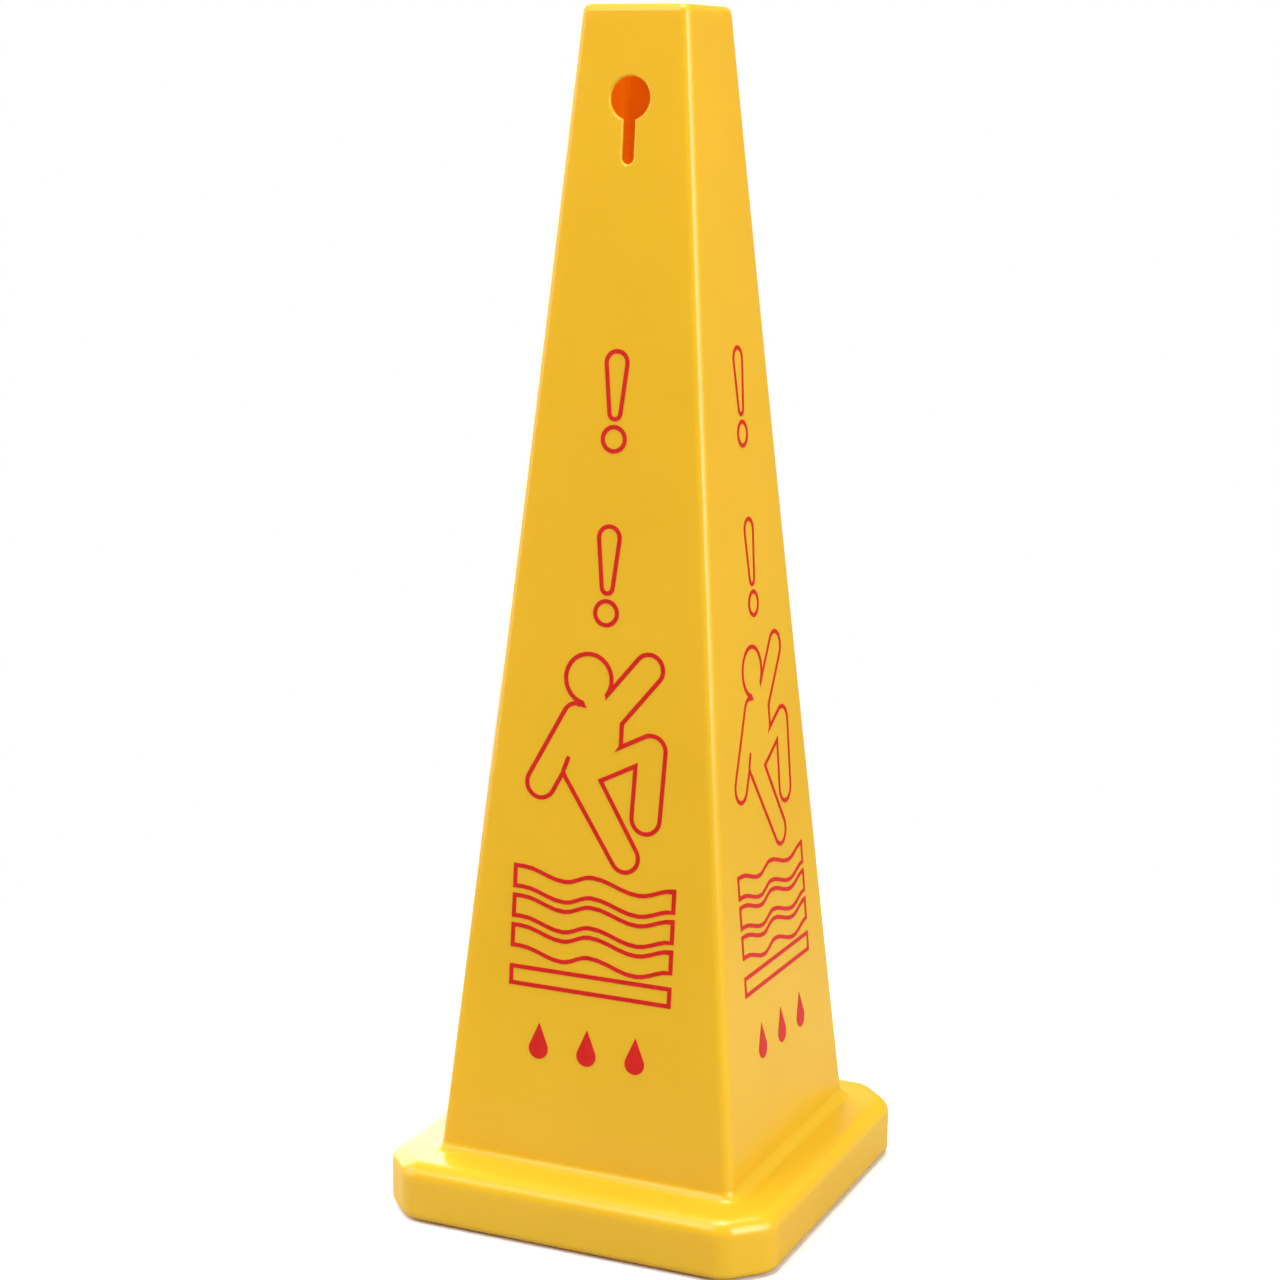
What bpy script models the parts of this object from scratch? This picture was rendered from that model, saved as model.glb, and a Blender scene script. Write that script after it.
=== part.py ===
"""Wet floor sign: a tall four-sided floor cone with printed warning pictures on its four walls.

Metres, +Z up. The origin is the centre of the base, at floor level, and the front wall looks along -Y.
The cone and its base are one thin-walled moulding, open underneath so that signs nest when stacked.
A keyhole in the front and back walls takes a barrier chain. Every printed mark is a thin film of ink.
"""
import math

import bmesh
import bpy
from mathutils import Matrix, Vector

MM = 0.001

# Moulding, overall
TOTAL_HEIGHT = 914.4 * MM
BASE_WIDTH = 321.4 * MM
WALL_THICKNESS = 3 * MM

# Base flange
RIM_HEIGHT = 1.5 * MM             # the rim's underside, above the floor
BASE_TOP = 47 * MM                # the flange's flat top face, above the floor
BASE_CORNER_CUT = 29.5 * MM       # how much of each corner the 45 degree cut takes off each side
BASE_CORNER_RADIUS = 25.2 * MM    # rounding where a cut corner meets a side
BASE_TOP_RADIUS = 12.6 * MM
BASE_BOTTOM_RADIUS = 6 * MM
LIP_WIDTH = 28 * MM               # the rim turns in under the flange as far as this

# Tapered walls
FOOT_HALF_WIDTH = 122.3 * MM
TOP_HALF_WIDTH = 42.8 * MM
WALL_BOW = 0.9 * MM               # the walls are slightly hollow: this much at mid height
FOOT_FILLET = 8 * MM               # the walls sweep out into the flange
TOP_RADIUS = 6 * MM
EDGE_CUT = 4.4 * MM               # the four sloping edges, rounded with hardly a flat left
EDGE_RADIUS = 7 * MM
SMALLEST_CORNER = 3.5 * MM        # no corner gets tighter than this, so that the wall can follow it
SMALLEST_FLAT = 1.1               # a cut keeps this share of the size at which its two roundings would meet
WALL_STEPS = 8
ARC_STEPS = 3

# Chain keyhole, in the front and back walls
KEYHOLE_HEIGHT = 847.3 * MM       # centre of the round part
KEYHOLE_RADIUS = 15.7 * MM
KEYHOLE_SLOT_RADIUS = 4.7 * MM
KEYHOLE_SLOT_END = 805 * MM       # centre of the slot's round end
KEYHOLE_STEPS = 24

# Non-slip pads under the corners of the rim
PAD_RADIUS = 9 * MM
PAD_BEVEL = 0.5 * MM
PAD_GAP = 0.3 * MM
PAD_STEPS = 20

# Each wall: its turn about +Z from the front in degrees, then where its print was laid, which is a little
# different on every wall: the shift off the wall's centre line, and the lean off upright in degrees
WALLS = {
    "front": (0, -0.6 * MM, 0),
    "right": (90, 2.9 * MM, 0.5),
    "back": (180, 1.0 * MM, -0.2),
    "left": (270, -1.8 * MM, 0.2),
}

# Print, laid out flat: x runs across from the middle of the print, y is the height above the floor.
# The wave's and the figure's points are in mm
INK_GAP = 0.1 * MM
INK_THICKNESS = 0.2 * MM
STROKE = 3.3 * MM
PRINT_MIDDLE = 400 * MM           # a print leans about its middle, at this height
MARK_ARC_STEPS = 12               # pieces in a half circle
FIGURE_ARC_STEPS = 16

EXCLAMATION_DOT_HEIGHTS = {"upper": 602 * MM, "lower": 474 * MM}
EXCLAMATION_DOT_RADIUS = 8.9 * MM
EXCLAMATION_TIP = (19 * MM, 4.4 * MM)       # height of its centre above the dot's centre, and its radius
EXCLAMATION_BULB = (55.7 * MM, 8.4 * MM)

WAVE_HALF_WIDTH = 65.5 * MM
WAVE_BAND = 15.6 * MM             # height of one band
WAVE_PITCH = 22.8 * MM
WAVE_TOP_HEIGHT = 268.7 * MM        # middle of the top band
WAVE_TURNS = ((-59.6, 0.7), (-23.6, -7.2), (-2.1, -1.2), (37.4, -9.9), (65.5, -3.0))   # crests and troughs
WAVE_STEPS = 5                    # pieces from one of them to the next

FLOOR_BAR_HEIGHT = 193.4 * MM
FLOOR_BAR_BAND = 12.9 * MM

DROP_HEIGHT = 139 * MM            # centre of a drop's round end
DROP_RADIUS = 8 * MM
DROP_POINT = 20 * MM              # the drop's point, above the centre of its round end
DROP_SPACING = 40 * MM

# The falling figure: each limb is the hull of its circles (x, y, radius), at the middle of the stroke
FIGURE_LIMBS = {
    "head": ((-11.7, 424.0, 18.7),),
    "neck": ((-6.3, 409.5, 10.7),),
    "torso": ((-20.2, 398.0, 6.0), (10.9, 398.0, 6.0), (13.9, 377.0, 3.0), (0.0, 358.0, 4.0),
              (-20.2, 364.0, 6.0)),
    "raised_arm": ((36.6, 435.0, 11.5), (7.9, 400.3, 11.5)),
    "lowered_arm": ((-47.5, 342.5, 11.5), (-20.1, 393.6, 11.5)),
    "thigh": ((40.5, 378.3, 8.6), (-3.2, 356.2, 8.6)),
    "shin": ((41.6, 375.2, 11.6), (39.6, 324.6, 11.4)),
    "straight_leg": ((-17.7, 356.4, 12.4), (24.0, 293.6, 11.0)),
}
FIGURE_CREASES = (((-29.3, 353.5), (-25.8, 363.0)), ((-19.0, 404.2), (-15.6, 405.0)))   # armpit and neck
CREASE_RADIUS = STROKE / 2

# Materials: colour, then roughness
YELLOW_PLASTIC = ((0.85, 0.47, 0.03, 1), 0.35)
GREY_RUBBER = ((0.05, 0.05, 0.05, 1), 0.8)
RED_INK = ((0.55, 0.01, 0.005, 1), 0.45)

# Mesh tolerances
SHARP_ANGLE = math.radians(35)    # edges sharper than this aren't shaded smooth
FLAT_ANGLE = math.radians(1)      # faces that meet flatter than this are one face
SLIVER = 0.1 * MM
WELD = 0.001 * MM


# Scene and materials

def clear_scene():
    for obj in list(bpy.data.objects):
        bpy.data.objects.remove(obj, do_unlink=True)
    for collection in list(bpy.data.collections):
        bpy.data.collections.remove(collection)


def make_collection(name):
    collection = bpy.data.collections.new(name)
    bpy.context.scene.collection.children.link(collection)
    return collection


def make_material(name, finish):
    colour, roughness = finish
    material = bpy.data.materials.new(name)
    material.use_nodes = True
    shader = material.node_tree.nodes["Principled BSDF"]
    shader.inputs["Base Color"].default_value = colour
    shader.inputs["Roughness"].default_value = roughness
    shader.inputs["Metallic"].default_value = 0
    return material


def add_object(name, data, collection, material=None):
    obj = bpy.data.objects.new(name, data)
    collection.objects.link(obj)
    if material is not None:
        obj.data.materials.append(material)
    return obj


def hide_cutter(obj):
    obj.hide_render = True
    obj.display_type = "WIRE"


def evaluated_mesh(obj):
    """The object's mesh with its modifiers or its curve settings applied."""
    depsgraph = bpy.context.evaluated_depsgraph_get()
    return bpy.data.meshes.new_from_object(obj.evaluated_get(depsgraph), depsgraph=depsgraph)


def merge_flat_faces(mesh):
    """Clears the slivers that a Boolean leaves where flat faces met, and the points inside straight edges."""
    bm = bmesh.new()
    bm.from_mesh(mesh)
    bmesh.ops.dissolve_limit(bm, angle_limit=FLAT_ANGLE, verts=bm.verts, edges=bm.edges)
    bmesh.ops.dissolve_degenerate(bm, dist=SLIVER, edges=bm.edges)
    bmesh.ops.dissolve_limit(bm, angle_limit=FLAT_ANGLE, verts=bm.verts, edges=bm.edges)
    loose = [vert for vert in bm.verts if not vert.link_faces]
    bmesh.ops.delete(bm, geom=loose, context="VERTS")
    bm.to_mesh(mesh)
    bm.free()


# Flat shapes

def arc(centre, radius, start, end, steps):
    """Points on an arc, from the start angle to the end angle, both in degrees."""
    points = []
    for step in range(steps + 1):
        angle = math.radians(start + (end - start) * step / steps)
        points.append((centre[0] + radius * math.cos(angle), centre[1] + radius * math.sin(angle)))
    return points


def circle(centre, radius, steps):
    return arc(centre, radius, 0, 360, steps)[:-1]


def plate(name, loops, thickness):
    """A mesh plate with the outline of the first loop and holes where the others are, centred on z = 0."""
    curve = bpy.data.curves.new(name, "CURVE")
    curve.dimensions = "2D"
    curve.fill_mode = "BOTH"
    curve.extrude = thickness / 2
    for loop in loops:
        spline = curve.splines.new("POLY")
        spline.points.add(len(loop) - 1)
        for point, (x, y) in zip(spline.points, loop):
            point.co = (x, y, 0, 1)
        spline.use_cyclic_u = True
    guide = add_object(name + "_outline", curve, bpy.context.scene.collection)
    mesh = evaluated_mesh(guide)
    bpy.data.objects.remove(guide, do_unlink=True)
    bm = bmesh.new()
    bm.from_mesh(mesh)
    bmesh.ops.remove_doubles(bm, verts=bm.verts, dist=WELD)
    bmesh.ops.recalc_face_normals(bm, faces=bm.faces)
    bm.to_mesh(mesh)
    bm.free()
    return mesh


# The moulding

def wall_half_width(height):
    """Half the width across two opposite walls, at a height above the floor."""
    share = (height - BASE_TOP) / (TOTAL_HEIGHT - BASE_TOP)
    straight = FOOT_HALF_WIDTH + (TOP_HALF_WIDTH - FOOT_HALF_WIDTH) * share
    return straight - WALL_BOW * 4 * share * (1 - share)


def section(half_width, corner_cut, corner_radius, height):
    """A square with cut and rounded corners, anticlockwise seen from above."""
    tangent = corner_radius * math.tan(math.radians(22.5))
    near = half_width - corner_radius
    far = half_width - corner_cut - tangent
    corner = arc((near, far), corner_radius, 0, 45, ARC_STEPS)
    corner += arc((far, near), corner_radius, 45, 90, ARC_STEPS)
    ring = []
    for quarter in range(4):
        turn = Matrix.Rotation(math.radians(90 * quarter), 4, "Z")
        ring.extend(turn @ Vector((x, y, height)) for x, y in corner)
    return ring


def inset_section(half_width, corner_cut, corner_radius, inset, height):
    """The same square with every side, cut and rounding moved in by an inset."""
    cut_shrink = 2 - math.sqrt(2)
    cut = max(corner_cut - cut_shrink * inset, SMALLEST_FLAT * cut_shrink * SMALLEST_CORNER)
    radius = max(corner_radius - inset, SMALLEST_CORNER)
    return section(half_width - inset, cut, radius, height)


def base_section(inset, height):
    return inset_section(BASE_WIDTH / 2, BASE_CORNER_CUT, BASE_CORNER_RADIUS, inset, height)


def cone_section(inset, height):
    return inset_section(wall_half_width(height), EDGE_CUT, EDGE_RADIUS, inset, height)


def quarter_turn(steps):
    """Sine and cosine at even steps from 0 to 90 degrees."""
    angles = [math.radians(90 * step / steps) for step in range(steps + 1)]
    return [(math.sin(angle), math.cos(angle)) for angle in angles]


def moulding_sections():
    """The outer skin's sections, from the lip's inner edge round the base and up to the flat top."""
    sections = [base_section(LIP_WIDTH, RIM_HEIGHT)]
    for sine, cosine in quarter_turn(ARC_STEPS):
        height = RIM_HEIGHT + BASE_BOTTOM_RADIUS * (1 - cosine)
        sections.append(base_section(BASE_BOTTOM_RADIUS * (1 - sine), height))
    for sine, cosine in quarter_turn(ARC_STEPS + 1):
        height = BASE_TOP - BASE_TOP_RADIUS * (1 - sine)
        sections.append(base_section(BASE_TOP_RADIUS * (1 - cosine), height))
    for sine, cosine in quarter_turn(ARC_STEPS):
        height = BASE_TOP + FOOT_FILLET * (1 - cosine)
        sections.append(cone_section(-FOOT_FILLET * (1 - sine), height))
    start = BASE_TOP + FOOT_FILLET
    end = TOTAL_HEIGHT - TOP_RADIUS
    for step in range(1, WALL_STEPS):
        sections.append(cone_section(0, start + (end - start) * step / WALL_STEPS))
    for sine, cosine in quarter_turn(ARC_STEPS):
        height = TOTAL_HEIGHT - TOP_RADIUS * (1 - sine)
        sections.append(cone_section(TOP_RADIUS * (1 - cosine), height))
    return sections


def loft(name, sections):
    """An open skin through sections with the same number of points, closed by a face at the last one."""
    bm = bmesh.new()
    rings = [[bm.verts.new(point) for point in points] for points in sections]
    for lower, upper in zip(rings, rings[1:]):
        count = len(lower)
        for index in range(count):
            after = (index + 1) % count
            bm.faces.new((lower[index], lower[after], upper[after], upper[index]))
    bm.faces.new(rings[-1])
    mesh = bpy.data.meshes.new(name)
    bm.to_mesh(mesh)
    bm.free()
    return mesh


def keyhole_outline():
    """A round hole with a round-ended slot hanging from it."""
    half_gap = math.degrees(math.asin(KEYHOLE_SLOT_RADIUS / KEYHOLE_RADIUS))
    round_part = arc((0, KEYHOLE_HEIGHT), KEYHOLE_RADIUS, half_gap - 90, 270 - half_gap, KEYHOLE_STEPS)
    slot_end = arc((0, KEYHOLE_SLOT_END), KEYHOLE_SLOT_RADIUS, 180, 360, KEYHOLE_STEPS // 4)
    return round_part + slot_end


def make_moulding(parts, cutters, material):
    shell = add_object("cone_shell", loft("cone_shell", moulding_sections()), parts, material)
    skin = shell.modifiers.new("wall", "SOLIDIFY")
    skin.thickness = WALL_THICKNESS
    skin.offset = -1
    skin.use_even_offset = True

    depth = 4 * TOP_HALF_WIDTH
    cutter = add_object("keyhole_cutter", plate("keyhole_cutter", [keyhole_outline()], depth), cutters)
    cutter.rotation_euler = (math.radians(90), 0, 0)
    hide_cutter(cutter)
    cut = shell.modifiers.new("keyholes", "BOOLEAN")
    cut.operation = "DIFFERENCE"
    cut.object = cutter
    shell.data.shade_smooth()
    shell.data.set_sharp_from_angle(angle=SHARP_ANGLE)


def make_pads(parts, material):
    """A round rubber pad under each corner of the rim."""
    cut_distance = (BASE_WIDTH - BASE_CORNER_CUT) / math.sqrt(2)
    reach = cut_distance - (BASE_BOTTOM_RADIUS + LIP_WIDTH) / 2
    depth = RIM_HEIGHT - PAD_GAP
    corners = {"front_right": -45, "back_right": 45, "back_left": 135, "front_left": 225}
    for corner, degrees in corners.items():
        bm = bmesh.new()
        bmesh.ops.create_cone(bm, cap_ends=True, segments=PAD_STEPS, radius1=PAD_RADIUS, radius2=PAD_RADIUS,
                              depth=depth)
        mesh = bpy.data.meshes.new("foot_pad_" + corner)
        bm.to_mesh(mesh)
        bm.free()
        pad = add_object("foot_pad_" + corner, mesh, parts, material)
        angle = math.radians(degrees)
        pad.location = (reach * math.cos(angle), reach * math.sin(angle), depth / 2)
        rounding = pad.modifiers.new("rounding", "BEVEL")
        rounding.width = PAD_BEVEL
        rounding.limit_method = "ANGLE"
        mesh.shade_smooth()
        mesh.set_sharp_from_angle(angle=SHARP_ANGLE)


# The printed marks, as flat plates

def ring_mark(name, centre, radius):
    outer = circle(centre, radius + STROKE / 2, 2 * MARK_ARC_STEPS)
    inner = circle(centre, radius - STROKE / 2, 2 * MARK_ARC_STEPS)
    return plate(name, [outer, inner], INK_THICKNESS)


def club_outline(low, low_radius, high, high_radius):
    """The outline round a small circle and a bigger one above it, both on the centre line."""
    lean = math.degrees(math.asin((high_radius - low_radius) / (high - low)))
    top = arc((0, high), high_radius, -lean, 180 + lean, MARK_ARC_STEPS)
    bottom = arc((0, low), low_radius, 180 + lean, 360 - lean, MARK_ARC_STEPS)
    return top + bottom


def exclamation_mark(name, dot_height):
    tip, tip_radius = EXCLAMATION_TIP
    bulb, bulb_radius = EXCLAMATION_BULB
    loops = []
    for grow in (STROKE / 2, -STROKE / 2):
        loops.append(club_outline(dot_height + tip, tip_radius + grow, dot_height + bulb, bulb_radius + grow))
    return plate(name, loops, INK_THICKNESS)


def wave_line(low, high):
    """Points of the wave between two x values: half a cosine from each crest or trough to the next."""
    points = []
    for (x0, y0), (x1, y1) in zip(WAVE_TURNS, WAVE_TURNS[1:]):
        for step in range(WAVE_STEPS):
            share = step / WAVE_STEPS
            x = (x0 + (x1 - x0) * share) * MM
            y = (y0 + (y1 - y0) * (1 - math.cos(math.pi * share)) / 2) * MM
            points.append((x, y))
    points.append((WAVE_TURNS[-1][0] * MM, WAVE_TURNS[-1][1] * MM))
    inner = [(x, y) for x, y in points if low < x < high]
    return [(low, inner[0][1])] + inner + [(high, inner[-1][1])]


def wave_mark(name, height):
    loops = []
    for grow in (STROKE / 2, -STROKE / 2):
        reach = WAVE_HALF_WIDTH + grow
        rise = WAVE_BAND / 2 + grow
        line = wave_line(-reach, reach)
        lower = [(x, height + y - rise) for x, y in line]
        upper = [(x, height + y + rise) for x, y in reversed(line)]
        loops.append(lower + upper)
    return plate(name, loops, INK_THICKNESS)


def bar_mark(name, height, half_width, band):
    loops = []
    for grow in (STROKE / 2, -STROKE / 2):
        x = half_width + grow
        y = band / 2 + grow
        loops.append([(-x, height - y), (x, height - y), (x, height + y), (-x, height + y)])
    return plate(name, loops, INK_THICKNESS)


def drop_mark(name, x):
    """A solid water drop: a circle drawn up to a point."""
    lean = math.degrees(math.acos(DROP_RADIUS / DROP_POINT))
    outline = arc((x, DROP_HEIGHT), DROP_RADIUS, 90 + lean, 450 - lean, 2 * MARK_ARC_STEPS)
    outline.append((x, DROP_HEIGHT + DROP_POINT))
    return plate(name, [outline], INK_THICKNESS)


def hull_prism(name, circles, grow, half_thickness, collection):
    """A prism round some circles (x, y, radius, in mm), each grown by the same amount."""
    bm = bmesh.new()
    for x, y, radius in circles:
        for px, py in circle((x * MM, y * MM), radius * MM + grow, 2 * FIGURE_ARC_STEPS):
            bm.verts.new((px, py, -half_thickness))
            bm.verts.new((px, py, half_thickness))
    hull = bmesh.ops.convex_hull(bm, input=bm.verts)
    inside = [item for item in hull["geom_interior"] if isinstance(item, bmesh.types.BMVert)]
    bmesh.ops.delete(bm, geom=inside, context="VERTS")
    bmesh.ops.dissolve_limit(bm, angle_limit=FLAT_ANGLE, verts=bm.verts, edges=bm.edges)
    mesh = bpy.data.meshes.new(name)
    bm.to_mesh(mesh)
    bm.free()
    prism = add_object(name, mesh, collection)
    hide_cutter(prism)
    return prism


def boolean_with(obj, operation, collection):
    step = obj.modifiers.new(collection.name, "BOOLEAN")
    step.operation = operation
    step.operand_type = "COLLECTION"
    step.collection = collection


def figure_mark(name, cutters):
    """A falling figure drawn as an outline: its grown limbs joined, less its shrunken limbs."""
    body = bpy.data.collections.new("figure_outside")
    hollow = bpy.data.collections.new("figure_inside")
    creases = bpy.data.collections.new("figure_creases")
    for group in (body, hollow, creases):
        cutters.children.link(group)
    half = INK_THICKNESS / 2
    for limb, circles in FIGURE_LIMBS.items():
        home = cutters if limb == "torso" else body
        hull_prism("outside_" + limb, circles, STROKE / 2, half, home)
        hull_prism("inside_" + limb, circles, -STROKE / 2, 2 * half, hollow)
    for number, ends in enumerate(FIGURE_CREASES):
        circles = [(x, y, CREASE_RADIUS / MM) for x, y in ends]
        hull_prism("crease_" + str(number), circles, 0, half, creases)
    figure = bpy.data.objects["outside_torso"]
    boolean_with(figure, "UNION", body)
    boolean_with(figure, "DIFFERENCE", hollow)
    boolean_with(figure, "UNION", creases)
    mesh = evaluated_mesh(figure)
    merge_flat_faces(mesh)
    mesh.name = name
    return mesh


def printed_marks(cutters):
    """Every mark of one wall's print as a flat plate, by name."""
    marks = {}
    for level, height in EXCLAMATION_DOT_HEIGHTS.items():
        marks["exclamation_stroke_" + level] = exclamation_mark("stroke", height)
        marks["exclamation_dot_" + level] = ring_mark("dot", (0, height), EXCLAMATION_DOT_RADIUS)
    marks["falling_figure"] = figure_mark("figure", cutters)
    for number, level in enumerate(("top", "middle", "bottom")):
        marks["wave_" + level] = wave_mark("wave", WAVE_TOP_HEIGHT - number * WAVE_PITCH)
    marks["floor_bar"] = bar_mark("bar", FLOOR_BAR_HEIGHT, WAVE_HALF_WIDTH, FLOOR_BAR_BAND)
    for number, side in enumerate(("left", "centre", "right")):
        marks["drop_" + side] = drop_mark("drop", (number - 1) * DROP_SPACING)
    return marks


def lay_on_wall(flat, name, wall):
    """A copy of a flat mark, laid on the outside of a wall."""
    degrees, shift, lean = WALLS[wall]
    mesh = flat.copy()
    mesh.name = name
    turn = Matrix.Rotation(math.radians(degrees), 4, "Z")
    tilt = Matrix.Rotation(math.radians(-lean), 4, "Z")
    pivot = Vector((0, PRINT_MIDDLE, 0))
    for vertex in mesh.vertices:
        across, height, rise = tilt @ (vertex.co - pivot) + pivot
        distance = wall_half_width(height) + INK_GAP + INK_THICKNESS / 2 + rise
        vertex.co = turn @ Vector((across + shift, -distance, height))
    mesh.update()
    return mesh


def make_print(parts, cutters, material):
    marks = printed_marks(cutters)
    for wall in WALLS:
        for mark, flat in marks.items():
            name = wall + "_" + mark
            add_object(name, lay_on_wall(flat, name, wall), parts, material)


def main():
    clear_scene()
    parts = make_collection("wet_floor_sign")
    cutters = make_collection("cutters")
    make_moulding(parts, cutters, make_material("yellow_plastic", YELLOW_PLASTIC))
    make_pads(parts, make_material("grey_rubber", GREY_RUBBER))
    make_print(parts, cutters, make_material("red_ink", RED_INK))


main()
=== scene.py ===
"""Looks of the wet floor sign: a translucent yellow moulding with red printed marks, in a pale studio.

Metres, +Z up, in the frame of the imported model. The front wall looks along -Y.
"""

import math

import bmesh
import bpy
from mathutils import Matrix, Vector


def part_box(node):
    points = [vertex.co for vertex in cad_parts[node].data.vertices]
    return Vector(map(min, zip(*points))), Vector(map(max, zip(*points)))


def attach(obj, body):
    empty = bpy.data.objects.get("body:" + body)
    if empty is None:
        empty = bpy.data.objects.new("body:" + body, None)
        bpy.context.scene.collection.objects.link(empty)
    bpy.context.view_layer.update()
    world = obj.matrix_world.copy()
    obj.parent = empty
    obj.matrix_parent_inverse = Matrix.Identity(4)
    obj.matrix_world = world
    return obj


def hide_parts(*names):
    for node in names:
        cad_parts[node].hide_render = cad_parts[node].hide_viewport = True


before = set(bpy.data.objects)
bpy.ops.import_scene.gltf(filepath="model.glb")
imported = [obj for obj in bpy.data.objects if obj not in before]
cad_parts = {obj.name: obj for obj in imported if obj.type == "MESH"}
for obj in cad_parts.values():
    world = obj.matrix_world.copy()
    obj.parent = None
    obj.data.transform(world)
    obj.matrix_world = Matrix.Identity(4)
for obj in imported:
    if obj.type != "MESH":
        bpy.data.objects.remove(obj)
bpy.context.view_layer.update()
MM = 0.001

# Moulding, read from the frame
SHELL_LOW, SHELL_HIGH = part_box("cone_shell")
BASE_WIDTH = SHELL_HIGH[0] - SHELL_LOW[0]
TOTAL_HEIGHT = SHELL_HIGH[2]
RIM_HEIGHT = SHELL_LOW[2]

# Moulding, as designed
WALL_THICKNESS = 3 * MM
BASE_TOP = 47 * MM
BASE_CORNER_CUT = 29.5 * MM
BASE_CORNER_RADIUS = 25.2 * MM
BASE_TOP_RADIUS = 12.6 * MM
BASE_BOTTOM_RADIUS = 6 * MM
LIP_WIDTH = 28 * MM
FOOT_HALF_WIDTH = 122.3 * MM
TOP_HALF_WIDTH = 42.8 * MM
WALL_BOW = 0.9 * MM
FOOT_FILLET = 8 * MM
TOP_RADIUS = 6 * MM
EDGE_CUT = 4.4 * MM
EDGE_RADIUS = 7 * MM
SMALLEST_CORNER = 3.5 * MM        # no corner gets tighter than this, so that the wall can follow it
SMALLEST_FLAT = 1.1               # a cut keeps this share of the size at which its two roundings would meet
ARC_STEPS = 8
WALL_STEPS = 24
KEYHOLE_HEIGHT = 847.3 * MM
KEYHOLE_RADIUS = 15.7 * MM
KEYHOLE_SLOT_RADIUS = 4.7 * MM
KEYHOLE_SLOT_END = 805 * MM
KEYHOLE_MARGIN = 5 * MM           # plain wall kept clear above and below the keyhole
KEYHOLE_STEPS = 64
RIM_ROUNDING = 2.1 * MM           # on the keyhole's outer edges
HIDDEN_ROUNDING = 0.35            # share of it on the edges inside the moulding
SKIN_DEPTH = WALL_THICKNESS / 3   # a point this close to the outside of a wall lies on its outer skin
ROUNDING_STEPS = 5
FLAT_FACE_WEIGHT = 100            # the largest: big faces are shaded flat, and only the roundings curve
SHARP_ANGLE = math.radians(60)

# Colours are linear. Each material has two shades, which a cloudy noise mixes.
PLASTIC_OUTSIDE = ((0.80, 0.56, 0.026, 1), (0.77, 0.53, 0.022, 1))
# The inside shades are orange, a painted glow that stands in for light come through the yellow walls; the
# moulding is the same yellow plastic inside
PLASTIC_INSIDE_PAINTED_GLOW = ((0.94, 0.40, 0.040, 1), (0.92, 0.37, 0.035, 1))
PLASTIC_THROUGH = (0.93, 0.47, 0.03, 1)    # tint of the light that goes through a skin of the plastic
TRANSLUCENCY = 0.28                        # share of the light that enters the plastic from the air
PASSED_ON = 0.5                            # share of it that leaves again at the far skin
INK = ((0.50, 0.004, 0.002, 1), (0.60, 0.010, 0.005, 1))
INK_GLOSS = 0.3
RUBBER = ((0.030, 0.030, 0.031, 1), (0.055, 0.054, 0.052, 1))
# Roughness, from and to
OUTSIDE_ROUGHNESS = (0.215, 0.265)
INSIDE_ROUGHNESS = (0.375, 0.425)
INK_ROUGHNESS = (0.36, 0.46)
RUBBER_ROUGHNESS = (0.7, 0.9)
PLASTIC_IOR = 1.5
NOISE_RANGE = (0.3, 0.7)                   # where nearly all of a noise's values lie
# Noises: features per metre, detail, roughness
PLASTIC_CLOUD = (9, 3, 0.5)
PLASTIC_SMEAR = (35, 4, 0.6)
PLASTIC_FLOW = (14, 1, 0.5)
PLASTIC_PEEL = (700, 2, 0.5)
INK_DENSITY = (160, 5, 0.65)
INK_GRAIN = (1500, 2, 0.5)
RUBBER_CLOUD = (60, 3, 0.5)
RUBBER_GRAIN = (900, 4, 0.7)
# Heights of the bumps
FLOW_DEPTH = 0.35 * MM
PEEL_DEPTH = 0.006 * MM
INK_GRAIN_DEPTH = 0.01 * MM
RUBBER_GRAIN_DEPTH = 0.08 * MM

# Camera
CAMERA_DISTANCE_RIGHT = 0.8095
CAMERA_DISTANCE_FRONT = 1.8327
CAMERA_HEIGHT = 0.8505
CAMERA_YAW = 24.085               # degrees to the left of straight back
CAMERA_PITCH = 11.617             # degrees down
CAMERA_ROLL = 0.5
CAMERA_LENS = 74.75
CAMERA_SENSOR = 36

# Studio: how strongly the white surroundings light the sign, and mirror in it from in front and from behind
BACKDROP = (0.0, 0.15, 0.22)
FLOOR = (0.62, 0.08, 0.75)
FRONT_TO_BACK = (-0.5, 0.5)       # the y values between which the reflections change
FLOOR_FADE = (0.25, 1.0)          # distances over which the floor turns into the backdrop, to the camera
FLOOR_MIRROR_FADE = (0.35, 0.8)   # and in reflections
FLOOR_MIRROR_EDGE = (0.6, 1.4)    # distances over which the floor's reflection weakens,
FLOOR_MIRROR_FAR = 0.3            # to this share
# The lit floor close to the sign, as the camera, a reflection and matt light meet it
FLOOR_SEEN = (0.92, 0.92, 0.92, 1)
FLOOR_MIRRORED = (0.30, 0.30, 0.30, 1)
FLOOR_LIT = (0.47, 0.47, 0.47, 1)
FLOOR_ROUGHNESS = 0.7
FLOOR_RADIUS = 14
FLOOR_STEPS = 96
WHITE = (1, 1, 1, 1)
# Softboxes: azimuth in degrees, distance from the axis, height, width and height of the light, power
SOFTBOXES = {
    "overhead": (0, 0.0, 5.0, (3.0, 3.0), 285),
    "right_tube": (66, 2.4, 1.25, (0.4, 1.9), 22),
    "right_box": (80, 4.0, 1.5, (3.0, 2.6), 128),
    "left_back": (-128, 2.2, 1.0, (2.8, 2.0), 98),
    "left_front": (-62, 2.4, 1.0, (1.8, 2.4), 40),
    "high_front": (-24, 3.8, 4.2, (2.0, 3.5), 105),
}


# Node helpers

def new_material(name):
    material = bpy.data.materials.new(name)
    material.use_nodes = True
    return material, material.node_tree, material.node_tree.nodes["Principled BSDF"]


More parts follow.
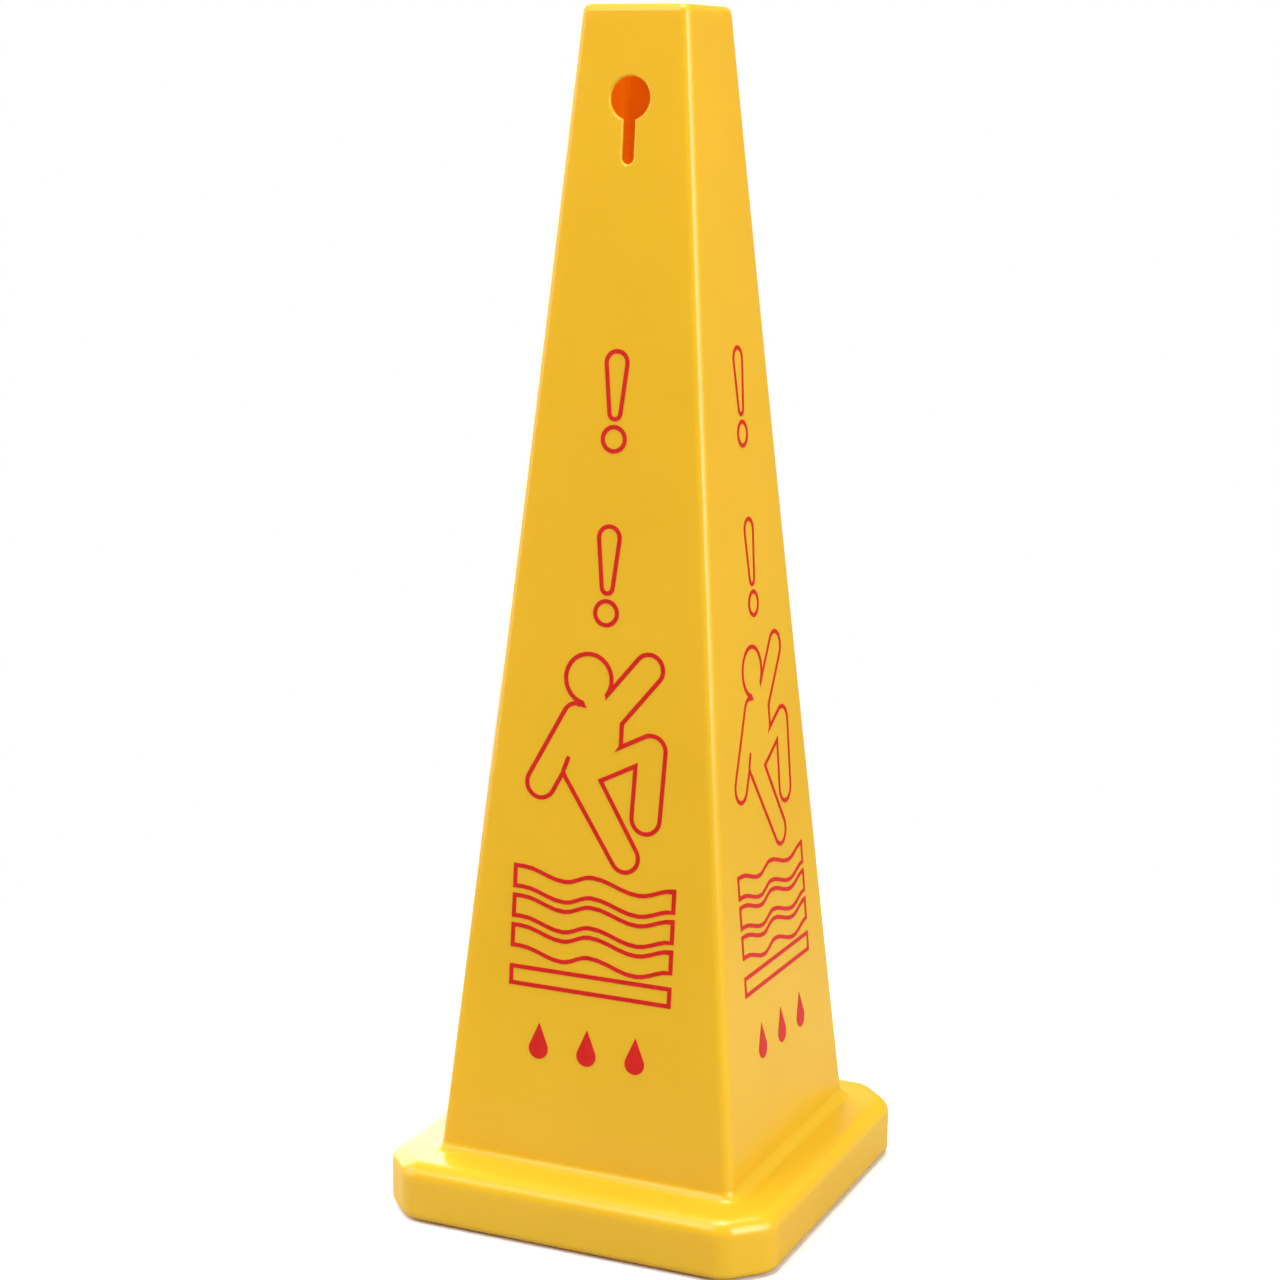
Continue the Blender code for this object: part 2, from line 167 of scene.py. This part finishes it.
def add_node(tree, kind, inputs=None, **settings):
    node = tree.nodes.new(kind)
    for key, value in settings.items():
        setattr(node, key, value)
    for key, value in (inputs or {}).items():
        if isinstance(value, bpy.types.NodeSocket):
            tree.links.new(value, node.inputs[key])
        else:
            node.inputs[key].default_value = value
    return node


def coordinates(tree):
    return add_node(tree, "ShaderNodeTexCoord").outputs["Object"]


def noise(tree, pattern):
    scale, detail, roughness = pattern
    inputs = {"Vector": coordinates(tree), "Scale": scale, "Detail": detail, "Roughness": roughness}
    return add_node(tree, "ShaderNodeTexNoise", inputs).outputs["Fac"]


def remap(tree, value, source, target):
    """Maps one range onto another. The ends are held outside it."""
    low, high = source
    to_low, to_high = target
    inputs = {"Value": value, "From Min": low, "From Max": high, "To Min": to_low, "To Max": to_high}
    return add_node(tree, "ShaderNodeMapRange", inputs).outputs["Result"]


def mix_colours(tree, factor, first, second):
    node = add_node(tree, "ShaderNodeMix", data_type="RGBA")
    for socket, value in ((node.inputs["Factor"], factor), (node.inputs[6], first), (node.inputs[7], second)):
        if isinstance(value, bpy.types.NodeSocket):
            tree.links.new(value, socket)
        else:
            socket.default_value = value
    return node.outputs[2]


def blend(tree, factor, first, second):
    """A number between two numbers."""
    return add_node(tree, "ShaderNodeMix", {0: factor, 2: first, 3: second}).outputs[0]


def blend_shaders(tree, factor, first, second):
    return add_node(tree, "ShaderNodeMixShader", {0: factor, 1: first, 2: second}).outputs[0]


def backfacing(tree):
    return add_node(tree, "ShaderNodeNewGeometry").outputs["Backfacing"]


def to_surface(tree, shader):
    tree.links.new(shader, tree.nodes["Material Output"].inputs["Surface"])


def white_to_camera(tree, fill, mirrored):
    """1 where the camera looks, and elsewhere the strength for matt light or the strength for reflections."""
    path = add_node(tree, "ShaderNodeLightPath")
    lit = blend(tree, path.outputs["Is Glossy Ray"], fill, mirrored)
    return blend(tree, path.outputs["Is Camera Ray"], lit, 1.0)


def front_to_back(tree, place, in_front, behind):
    depth = add_node(tree, "ShaderNodeSeparateXYZ", {0: place}).outputs["Y"]
    return remap(tree, depth, FRONT_TO_BACK, (in_front, behind))


def bump(tree, height, depth, under=None):
    inputs = {"Height": height, "Distance": depth, "Strength": 1.0}
    if under is not None:
        inputs["Normal"] = under
    return add_node(tree, "ShaderNodeBump", inputs).outputs["Normal"]


# Materials

def plastic(name, shades, roughness):
    """Moulded polyethylene: semi-gloss with a fine orange-peel skin. Some light passes from skin to skin."""
    material, tree, shader = new_material(name)
    cloud = remap(tree, noise(tree, PLASTIC_CLOUD), NOISE_RANGE, (0, 1))
    smear = remap(tree, noise(tree, PLASTIC_SMEAR), NOISE_RANGE, roughness)
    flow = bump(tree, noise(tree, PLASTIC_FLOW), FLOW_DEPTH)
    peel = bump(tree, noise(tree, PLASTIC_PEEL), PEEL_DEPTH, under=flow)
    tree.links.new(mix_colours(tree, cloud, *shades), shader.inputs["Base Color"])
    tree.links.new(smear, shader.inputs["Roughness"])
    tree.links.new(peel, shader.inputs["Normal"])
    shader.inputs["IOR"].default_value = PLASTIC_IOR

    glow = add_node(tree, "ShaderNodeBsdfTranslucent", {"Color": PLASTIC_THROUGH}).outputs[0]
    matt = add_node(tree, "ShaderNodeBsdfDiffuse", {"Color": PLASTIC_THROUGH}).outputs[0]
    from_air = blend_shaders(tree, TRANSLUCENCY, shader.outputs[0], glow)
    from_plastic = blend_shaders(tree, PASSED_ON, matt, glow)
    to_surface(tree, blend_shaders(tree, backfacing(tree), from_air, from_plastic))
    return material


def ink():
    material, tree, shader = new_material("printed_red_ink")
    density = noise(tree, INK_DENSITY)
    colour = mix_colours(tree, remap(tree, density, NOISE_RANGE, (0, 1)), *INK)
    tree.links.new(colour, shader.inputs["Base Color"])
    tree.links.new(remap(tree, density, NOISE_RANGE, INK_ROUGHNESS), shader.inputs["Roughness"])
    tree.links.new(bump(tree, noise(tree, INK_GRAIN), INK_GRAIN_DEPTH), shader.inputs["Normal"])
    shader.inputs["Specular IOR Level"].default_value = INK_GLOSS
    return material


def rubber():
    material, tree, shader = new_material("pad_rubber")
    grain = noise(tree, RUBBER_GRAIN)
    tree.links.new(mix_colours(tree, noise(tree, RUBBER_CLOUD), *RUBBER), shader.inputs["Base Color"])
    tree.links.new(remap(tree, grain, NOISE_RANGE, RUBBER_ROUGHNESS), shader.inputs["Roughness"])
    tree.links.new(bump(tree, grain, RUBBER_GRAIN_DEPTH), shader.inputs["Normal"])
    return material


def studio_floor():
    """Pale and matt near the sign, fading into the white backdrop further out, and clear from below."""
    material, tree, shader = new_material("studio_floor")
    place = coordinates(tree)
    distance = add_node(tree, "ShaderNodeVectorMath", {0: place}, operation="LENGTH").outputs["Value"]
    path = add_node(tree, "ShaderNodeLightPath")
    shade = mix_colours(tree, path.outputs["Is Glossy Ray"], FLOOR_LIT, FLOOR_MIRRORED)
    shade = mix_colours(tree, path.outputs["Is Camera Ray"], shade, FLOOR_SEEN)
    tree.links.new(shade, shader.inputs["Base Color"])
    shader.inputs["Roughness"].default_value = FLOOR_ROUGHNESS

    fill, in_front, behind = FLOOR
    edge = remap(tree, distance, FLOOR_MIRROR_EDGE, (1, FLOOR_MIRROR_FAR))
    mirrored = front_to_back(tree, place, in_front, behind)
    mirrored = add_node(tree, "ShaderNodeMath", {0: mirrored, 1: edge}, operation="MULTIPLY").outputs[0]
    strength = white_to_camera(tree, fill, mirrored)
    glow = add_node(tree, "ShaderNodeEmission", {"Color": WHITE, "Strength": strength}).outputs[0]

    seen_fade = remap(tree, distance, FLOOR_FADE, (0, 1))
    mirror_fade = remap(tree, distance, FLOOR_MIRROR_FADE, (0, 1))
    fade = blend(tree, path.outputs["Is Glossy Ray"], seen_fade, mirror_fade)
    above = blend_shaders(tree, fade, shader.outputs[0], glow)
    clear = add_node(tree, "ShaderNodeBsdfTransparent").outputs[0]
    to_surface(tree, blend_shaders(tree, backfacing(tree), above, clear))
    return material


# The moulding's shape

def arc(centre, radius, start, end, steps):
    """Points on an arc, from the start angle to the end angle, both in degrees."""
    points = []
    for step in range(steps + 1):
        angle = math.radians(start + (end - start) * step / steps)
        points.append((centre[0] + radius * math.cos(angle), centre[1] + radius * math.sin(angle)))
    return points


def wall_half_width(height):
    """Half the width across two opposite walls, at a height above the floor."""
    share = (height - BASE_TOP) / (TOTAL_HEIGHT - BASE_TOP)
    straight = FOOT_HALF_WIDTH + (TOP_HALF_WIDTH - FOOT_HALF_WIDTH) * share
    return straight - WALL_BOW * 4 * share * (1 - share)


def section(half_width, corner_cut, corner_radius, height):
    """A square with cut and rounded corners, anticlockwise seen from above."""
    tangent = corner_radius * math.tan(math.radians(22.5))
    near = half_width - corner_radius
    far = half_width - corner_cut - tangent
    corner = arc((near, far), corner_radius, 0, 45, ARC_STEPS)
    corner += arc((far, near), corner_radius, 45, 90, ARC_STEPS)
    ring = []
    for quarter in range(4):
        turn = Matrix.Rotation(math.radians(90 * quarter), 4, "Z")
        ring.extend(turn @ Vector((x, y, height)) for x, y in corner)
    return ring


def inset_section(half_width, corner_cut, corner_radius, inset, height):
    """The same square with every side, cut and rounding moved in by an inset."""
    cut_shrink = 2 - math.sqrt(2)
    cut = max(corner_cut - cut_shrink * inset, SMALLEST_FLAT * cut_shrink * SMALLEST_CORNER)
    radius = max(corner_radius - inset, SMALLEST_CORNER)
    return section(half_width - inset, cut, radius, height)


def base_section(inset, height):
    return inset_section(BASE_WIDTH / 2, BASE_CORNER_CUT, BASE_CORNER_RADIUS, inset, height)


def cone_section(inset, height):
    return inset_section(wall_half_width(height), EDGE_CUT, EDGE_RADIUS, inset, height)


def quarter_turn(steps):
    """Sine and cosine at even steps from 0 to 90 degrees."""
    angles = [math.radians(90 * step / steps) for step in range(steps + 1)]
    return [(math.sin(angle), math.cos(angle)) for angle in angles]


def wall_heights():
    """Heights of the sections up the walls, with none across the keyhole."""
    start = BASE_TOP + FOOT_FILLET
    below = KEYHOLE_SLOT_END - KEYHOLE_SLOT_RADIUS - KEYHOLE_MARGIN
    above = KEYHOLE_HEIGHT + KEYHOLE_RADIUS + KEYHOLE_MARGIN
    return [start + (below - start) * step / WALL_STEPS for step in range(1, WALL_STEPS + 1)] + [above]


def moulding_sections():
    """The outer skin's sections, from the lip's inner edge round the base and up to the flat top."""
    sections = [base_section(LIP_WIDTH, RIM_HEIGHT)]
    for sine, cosine in quarter_turn(ARC_STEPS):
        height = RIM_HEIGHT + BASE_BOTTOM_RADIUS * (1 - cosine)
        sections.append(base_section(BASE_BOTTOM_RADIUS * (1 - sine), height))
    for sine, cosine in quarter_turn(ARC_STEPS):
        height = BASE_TOP - BASE_TOP_RADIUS * (1 - sine)
        sections.append(base_section(BASE_TOP_RADIUS * (1 - cosine), height))
    for sine, cosine in quarter_turn(ARC_STEPS):
        height = BASE_TOP + FOOT_FILLET * (1 - cosine)
        sections.append(cone_section(-FOOT_FILLET * (1 - sine), height))
    for height in wall_heights():
        sections.append(cone_section(0, height))
    for sine, cosine in quarter_turn(ARC_STEPS):
        height = TOTAL_HEIGHT - TOP_RADIUS * (1 - sine)
        sections.append(cone_section(TOP_RADIUS * (1 - cosine), height))
    return sections


def loft(name, sections):
    """An open skin through sections with the same number of points, closed by a face at the last one."""
    bm = bmesh.new()
    rings = [[bm.verts.new(point) for point in points] for points in sections]
    for lower, upper in zip(rings, rings[1:]):
        count = len(lower)
        for index in range(count):
            after = (index + 1) % count
            bm.faces.new((lower[index], lower[after], upper[after], upper[index]))
    bm.faces.new(rings[-1])
    mesh = bpy.data.meshes.new(name)
    bm.to_mesh(mesh)
    bm.free()
    return mesh


def keyhole_outline():
    """A round hole with a round-ended slot hanging from it."""
    half_gap = math.degrees(math.asin(KEYHOLE_SLOT_RADIUS / KEYHOLE_RADIUS))
    round_part = arc((0, KEYHOLE_HEIGHT), KEYHOLE_RADIUS, half_gap - 90, 270 - half_gap, KEYHOLE_STEPS)
    slot_end = arc((0, KEYHOLE_SLOT_END), KEYHOLE_SLOT_RADIUS, 180, 360, KEYHOLE_STEPS // 4)
    return round_part + slot_end


def keyhole_cutter():
    """A bar with the keyhole's outline that runs through the front and back walls."""
    bm = bmesh.new()
    depth = 2 * TOP_HALF_WIDTH
    front = [bm.verts.new((x, -depth, z)) for x, z in keyhole_outline()]
    face = bm.faces.new(front)
    bar = bmesh.ops.extrude_face_region(bm, geom=[face])
    moved = [item for item in bar["geom"] if isinstance(item, bmesh.types.BMVert)]
    bmesh.ops.translate(bm, verts=moved, vec=(0, 2 * depth, 0))
    bmesh.ops.recalc_face_normals(bm, faces=bm.faces)
    mesh = bpy.data.meshes.new("keyhole_cutter")
    bm.to_mesh(mesh)
    bm.free()
    return add_object("keyhole_cutter", mesh)


def add_object(name, data, *materials):
    obj = bpy.data.objects.new(name, data)
    bpy.context.scene.collection.objects.link(obj)
    for material in materials:
        data.materials.append(material)
    return obj


def apply_modifiers(obj):
    depsgraph = bpy.context.evaluated_depsgraph_get()
    mesh = bpy.data.meshes.new_from_object(obj.evaluated_get(depsgraph), depsgraph=depsgraph)
    obj.modifiers.clear()
    obj.data = mesh


def on_outer_wall(point):
    """Whether a point of a keyhole's edge is on the outer skin of the front or back wall."""
    return point.z > BASE_TOP and abs(point.y) > wall_half_width(point.z) - SKIN_DEPTH


def weigh_rims(mesh):
    """Marks the sharp edges for rounding, and those inside the moulding for less of it."""
    bm = bmesh.new()
    bm.from_mesh(mesh)
    weight = bm.edges.layers.float.new("bevel_weight_edge")
    for edge in bm.edges:
        if edge.calc_face_angle(0) > SHARP_ANGLE:
            outside = all(on_outer_wall(vert.co) for vert in edge.verts)
            edge[weight] = 1.0 if outside else HIDDEN_ROUNDING
    bm.to_mesh(mesh)
    bm.free()


def make_moulding():
    outside = plastic("yellow_plastic_outside", PLASTIC_OUTSIDE, OUTSIDE_ROUGHNESS)
    # The inner faces get the orange painted glow of light come through the walls, not a colour of their own
    inside = plastic("yellow_plastic_inside_painted_glow", PLASTIC_INSIDE_PAINTED_GLOW, INSIDE_ROUGHNESS)
    shell = add_object("moulding", loft("moulding", moulding_sections()), outside, inside)
    skin = shell.modifiers.new("wall", "SOLIDIFY")
    skin.thickness = WALL_THICKNESS
    skin.offset = -1
    skin.use_even_offset = True
    skin.material_offset = 1
    skin.material_offset_rim = 0
    cutter = keyhole_cutter()
    cut = shell.modifiers.new("keyholes", "BOOLEAN")
    cut.operation = "DIFFERENCE"
    cut.object = cutter
    apply_modifiers(shell)
    bpy.data.objects.remove(cutter, do_unlink=True)

    weigh_rims(shell.data)
    rounding = shell.modifiers.new("rim_rounding", "BEVEL")
    rounding.width = RIM_ROUNDING
    rounding.segments = ROUNDING_STEPS
    rounding.limit_method = "WEIGHT"
    shell.data.shade_smooth()
    apply_modifiers(shell)
    normals = shell.modifiers.new("flat_walls", "WEIGHTED_NORMAL")
    normals.weight = FLAT_FACE_WEIGHT
    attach(shell, "root")
    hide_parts("cone_shell")
    return shell


def paint(prefixes, material):
    """Gives a material to every CAD node whose name starts with one of the prefixes."""
    for name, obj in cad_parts.items():
        if name.startswith(prefixes):
            for place in obj.material_slots:
                place.material = material


# The studio

def make_floor():
    bm = bmesh.new()
    bmesh.ops.create_circle(bm, cap_ends=True, segments=FLOOR_STEPS, radius=FLOOR_RADIUS)
    mesh = bpy.data.meshes.new("studio_floor")
    bm.to_mesh(mesh)
    bm.free()
    add_object("studio_floor", mesh, studio_floor())


def make_world():
    """White behind the sign, and softer where it lights and mirrors in the sign."""
    world = bpy.data.worlds.new("studio")
    bpy.context.scene.world = world
    world.use_nodes = True
    tree = world.node_tree
    background = tree.nodes["Background"]
    background.inputs["Color"].default_value = WHITE
    direction = add_node(tree, "ShaderNodeTexCoord").outputs["Generated"]
    fill, in_front, behind = BACKDROP
    strength = white_to_camera(tree, fill, front_to_back(tree, direction, in_front, behind))
    tree.links.new(strength, background.inputs["Strength"])


def softbox(name, azimuth, distance, height, size, power):
    """A rectangular area light aimed at the middle of the sign. Azimuth 0 is the front, and 90 the right."""
    light = bpy.data.lights.new(name, "AREA")
    light.shape = "RECTANGLE"
    light.size, light.size_y = size
    light.energy = power
    lamp = bpy.data.objects.new(name, light)
    bpy.context.scene.collection.objects.link(lamp)
    angle = math.radians(azimuth)
    lamp.location = (distance * math.sin(angle), -distance * math.cos(angle), height)
    aim = Vector((0, 0, TOTAL_HEIGHT / 2)) - lamp.location
    lamp.rotation_euler = aim.to_track_quat("-Z", "Y").to_euler()


def make_camera():
    camera = bpy.data.cameras.new("camera")
    camera.lens = CAMERA_LENS
    camera.sensor_width = CAMERA_SENSOR
    holder = bpy.data.objects.new("camera", camera)
    bpy.context.scene.collection.objects.link(holder)
    turn = Matrix.Rotation(math.radians(CAMERA_YAW), 4, "Z")
    tilt = Matrix.Rotation(math.radians(90 - CAMERA_PITCH), 4, "X")
    roll = Matrix.Rotation(math.radians(CAMERA_ROLL), 4, "Z")
    place = Matrix.Translation((CAMERA_DISTANCE_RIGHT, -CAMERA_DISTANCE_FRONT, CAMERA_HEIGHT))
    holder.matrix_world = place @ turn @ tilt @ roll
    bpy.context.scene.camera = holder


def make_studio():
    make_floor()
    make_world()
    for name, place in SOFTBOXES.items():
        softbox(name, *place)
    bpy.context.scene.view_settings.view_transform = "Standard"
    make_camera()


make_moulding()
paint(("front_", "right_", "back_", "left_"), ink())
paint(("foot_pad_",), rubber())
make_studio()
